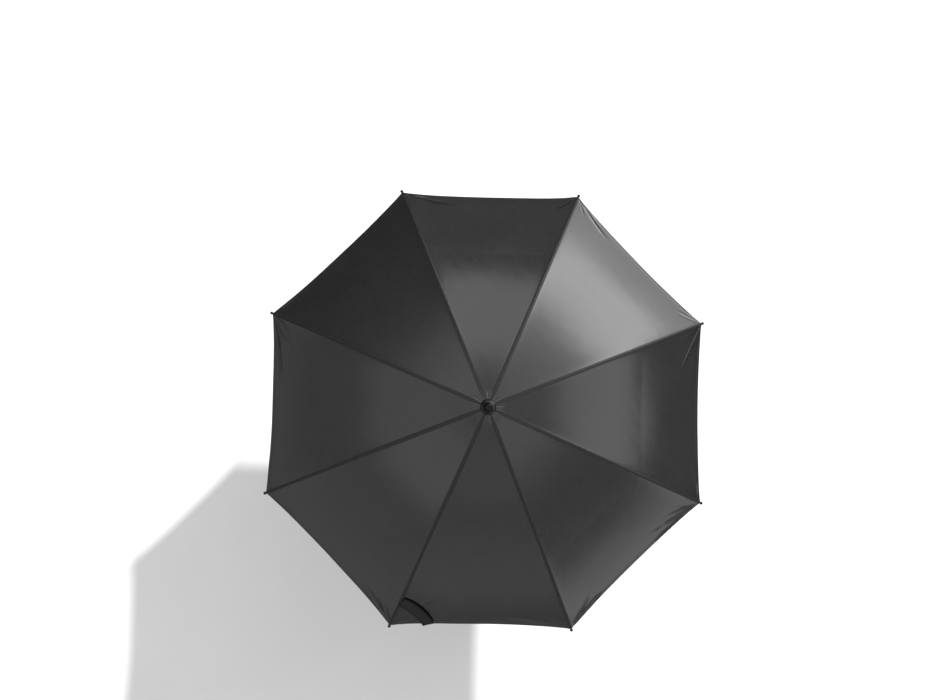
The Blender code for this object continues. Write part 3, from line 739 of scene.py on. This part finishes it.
def make_backdrop():
    """A pale dome round the floor that only the camera sees, so that it casts no light or shade."""
    mesh = bmesh.new()
    bmesh.ops.create_icosphere(mesh, subdivisions=5, radius=DOME_RADIUS)
    bmesh.ops.reverse_faces(mesh, faces=mesh.faces)
    data = bpy.data.meshes.new("backdrop")
    mesh.to_mesh(data)
    mesh.free()
    data.shade_smooth()
    material, tree, shader = principled("backdrop_paint")
    paint(tree, shader, 0.02, 0.84, 0.86)
    shader.inputs["Roughness"].default_value = 1.0
    shader.inputs["Specular IOR Level"].default_value = 0.0
    data.materials.append(material)
    backdrop = new_object("backdrop", data)
    for kind in ("diffuse", "glossy", "transmission", "volume_scatter", "shadow"):
        setattr(backdrop, f"visible_{kind}", False)


# How bright the studio's soft boxes and walls are from the zenith down, in eight directions round the
# umbrella: pairs of degrees below the zenith and brightness.
SKY = {
    0: ((0, 0.55), (48, 0.62), (55, 1.45), (73, 1.60), (77, 0.40), (84, 0.30), (92, 0.34), (100, 0.12)),
    45: (
        (0, 0.70), (30, 0.90), (48, 1.30), (58, 1.9), (68, 4.7),
        (79, 5.4), (84, 3.2), (88, 2.3), (97, 2.2), (104, 0.3),
    ),
    90: (
        (0, 0.50), (33, 0.60), (40, 0.95), (46, 1.60), (67, 1.60),
        (71, 0.46), (80, 0.34), (92, 0.38), (100, 0.12),
    ),
    135: ((0, 0.90), (38, 1.05), (46, 0.84), (54, 0.58), (64, 0.32), (72, 0.25), (88, 0.15), (100, 0.12)),
    180: ((0, 0.60), (36, 0.82), (59, 0.80), (65, 0.44), (80, 0.38), (91, 0.52), (95, 0.50), (100, 0.12)),
    225: ((0, 0.45), (30, 0.55), (40, 0.88), (57, 0.90), (64, 0.49), (80, 0.56), (95, 0.56), (101, 0.12)),
    270: ((0, 0.50), (40, 0.60), (52, 0.64), (58, 0.48), (66, 0.54), (82, 0.60), (90, 0.34), (100, 0.26)),
    315: ((0, 0.90), (44, 0.96), (55, 0.48), (70, 0.40), (78, 0.50), (86, 1.05), (95, 1.30), (104, 0.15)),
}
SKY_SCALE = 8.0  # the levels above are divided by this for the ramp, which holds 0 to 1
SKY_SECTOR = 22.5  # half of each direction's share of the sky, in degrees
SKY_EDGE = 4.0  # half the width of the blend between neighbouring directions, in degrees


def make_world():
    world = bpy.data.worlds.new("studio")
    world.use_nodes = True
    tree = world.node_tree
    split = tree.nodes.new("ShaderNodeSeparateXYZ")
    tree.links.new(tree.nodes.new("ShaderNodeTexCoord").outputs["Generated"], split.inputs[0])
    x, y, z = split.outputs
    down = math_node(tree, "DIVIDE", math_node(tree, "ARCCOSINE", z), math.pi)
    around = math_node(tree, "MULTIPLY", math_node(tree, "ARCTAN2", y, x), 180 / math.pi)
    total = 0.0
    for azimuth, stops in SKY.items():
        curve = tree.nodes.new("ShaderNodeValToRGB")
        elements = curve.color_ramp.elements
        elements.remove(elements[1])
        for number, (angle, level) in enumerate(stops):
            stop = elements[0] if number == 0 else elements.new(angle / 180)
            stop.position = angle / 180
            stop.color = (level / SKY_SCALE, level / SKY_SCALE, level / SKY_SCALE, 1.0)
        tree.links.new(down, curve.inputs["Fac"])
        turned = math_node(tree, "SUBTRACT", around, float(azimuth))
        turned = math_node(tree, "WRAP", turned, 180.0, -180.0)
        away = math_node(tree, "ABSOLUTE", turned)
        share = tree.nodes.new("ShaderNodeMapRange")
        share.inputs["From Min"].default_value = SKY_SECTOR + SKY_EDGE
        share.inputs["From Max"].default_value = SKY_SECTOR - SKY_EDGE
        tree.links.new(away, share.inputs["Value"])
        lit = math_node(tree, "MULTIPLY", curve.outputs["Color"], share.outputs["Result"])
        total = math_node(tree, "ADD", lit, total)
    tree.links.new(times(tree, total, SKY_SCALE), tree.nodes["Background"].inputs["Strength"])
    tree.nodes["Background"].inputs["Color"].default_value = (1.0, 1.0, 1.0, 1.0)
    bpy.context.scene.world = world


CAMERA_LENS = 35.87
CAMERA_TILT = (3.76, -0.49, 1.35)  # in degrees; the photo looks down almost along the shaft
CAMERA_TARGET = (-0.0336, 0.1506, 0.75)
CAMERA_DISTANCE = 2.5


def make_camera():
    data = bpy.data.cameras.new("camera")
    data.sensor_width = 36.0
    data.lens = CAMERA_LENS
    data.clip_end = 200.0
    camera = new_object("camera", data)
    camera.rotation_mode = "XYZ"
    turn = Euler([math.radians(angle) for angle in CAMERA_TILT], "XYZ")
    camera.rotation_euler = turn
    back = turn.to_matrix() @ Vector((0.0, 0.0, CAMERA_DISTANCE))
    camera.location = Vector(CAMERA_TARGET) + back
    bpy.context.scene.camera = camera
    bpy.context.scene.view_settings.view_transform = "Standard"


coat_frame()
make_canopy(cloth_material(), seam_material())
make_strap(strap_material())
make_stage()
make_world()
make_camera()
